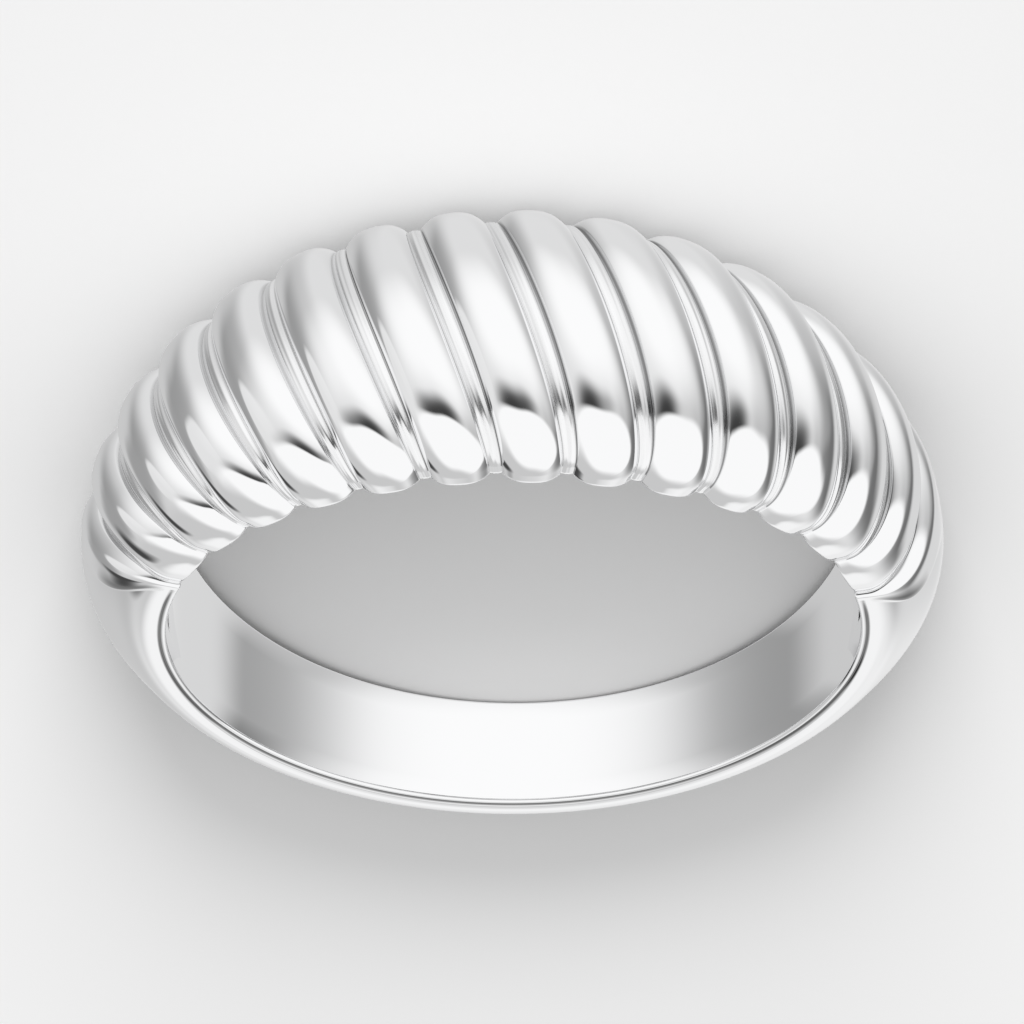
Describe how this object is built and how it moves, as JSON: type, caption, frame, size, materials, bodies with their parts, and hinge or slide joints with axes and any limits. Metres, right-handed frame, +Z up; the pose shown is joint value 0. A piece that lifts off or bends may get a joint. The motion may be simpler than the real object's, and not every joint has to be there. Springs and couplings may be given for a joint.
{
  "type": "chunky ring",
  "caption": "Chunky domed finger ring cast in one piece, with slanted rounded ribs over its broad head and a plain shank that narrows to the back.",
  "frame": {"origin": "middle of the finger hole, on its axis", "axes": "+Z up from the surface the ring lies on, close to the finger hole's axis, which leans towards +Y; the ribbed head faces -Y, the back of the shank +Y"},
  "size_m": [0.0216, 0.0211, 0.0077],
  "materials": {
    "silver": "polished silver"
  },
  "bodies": {
    "root": {"ring": "silver"}
  },
  "joints": []
}
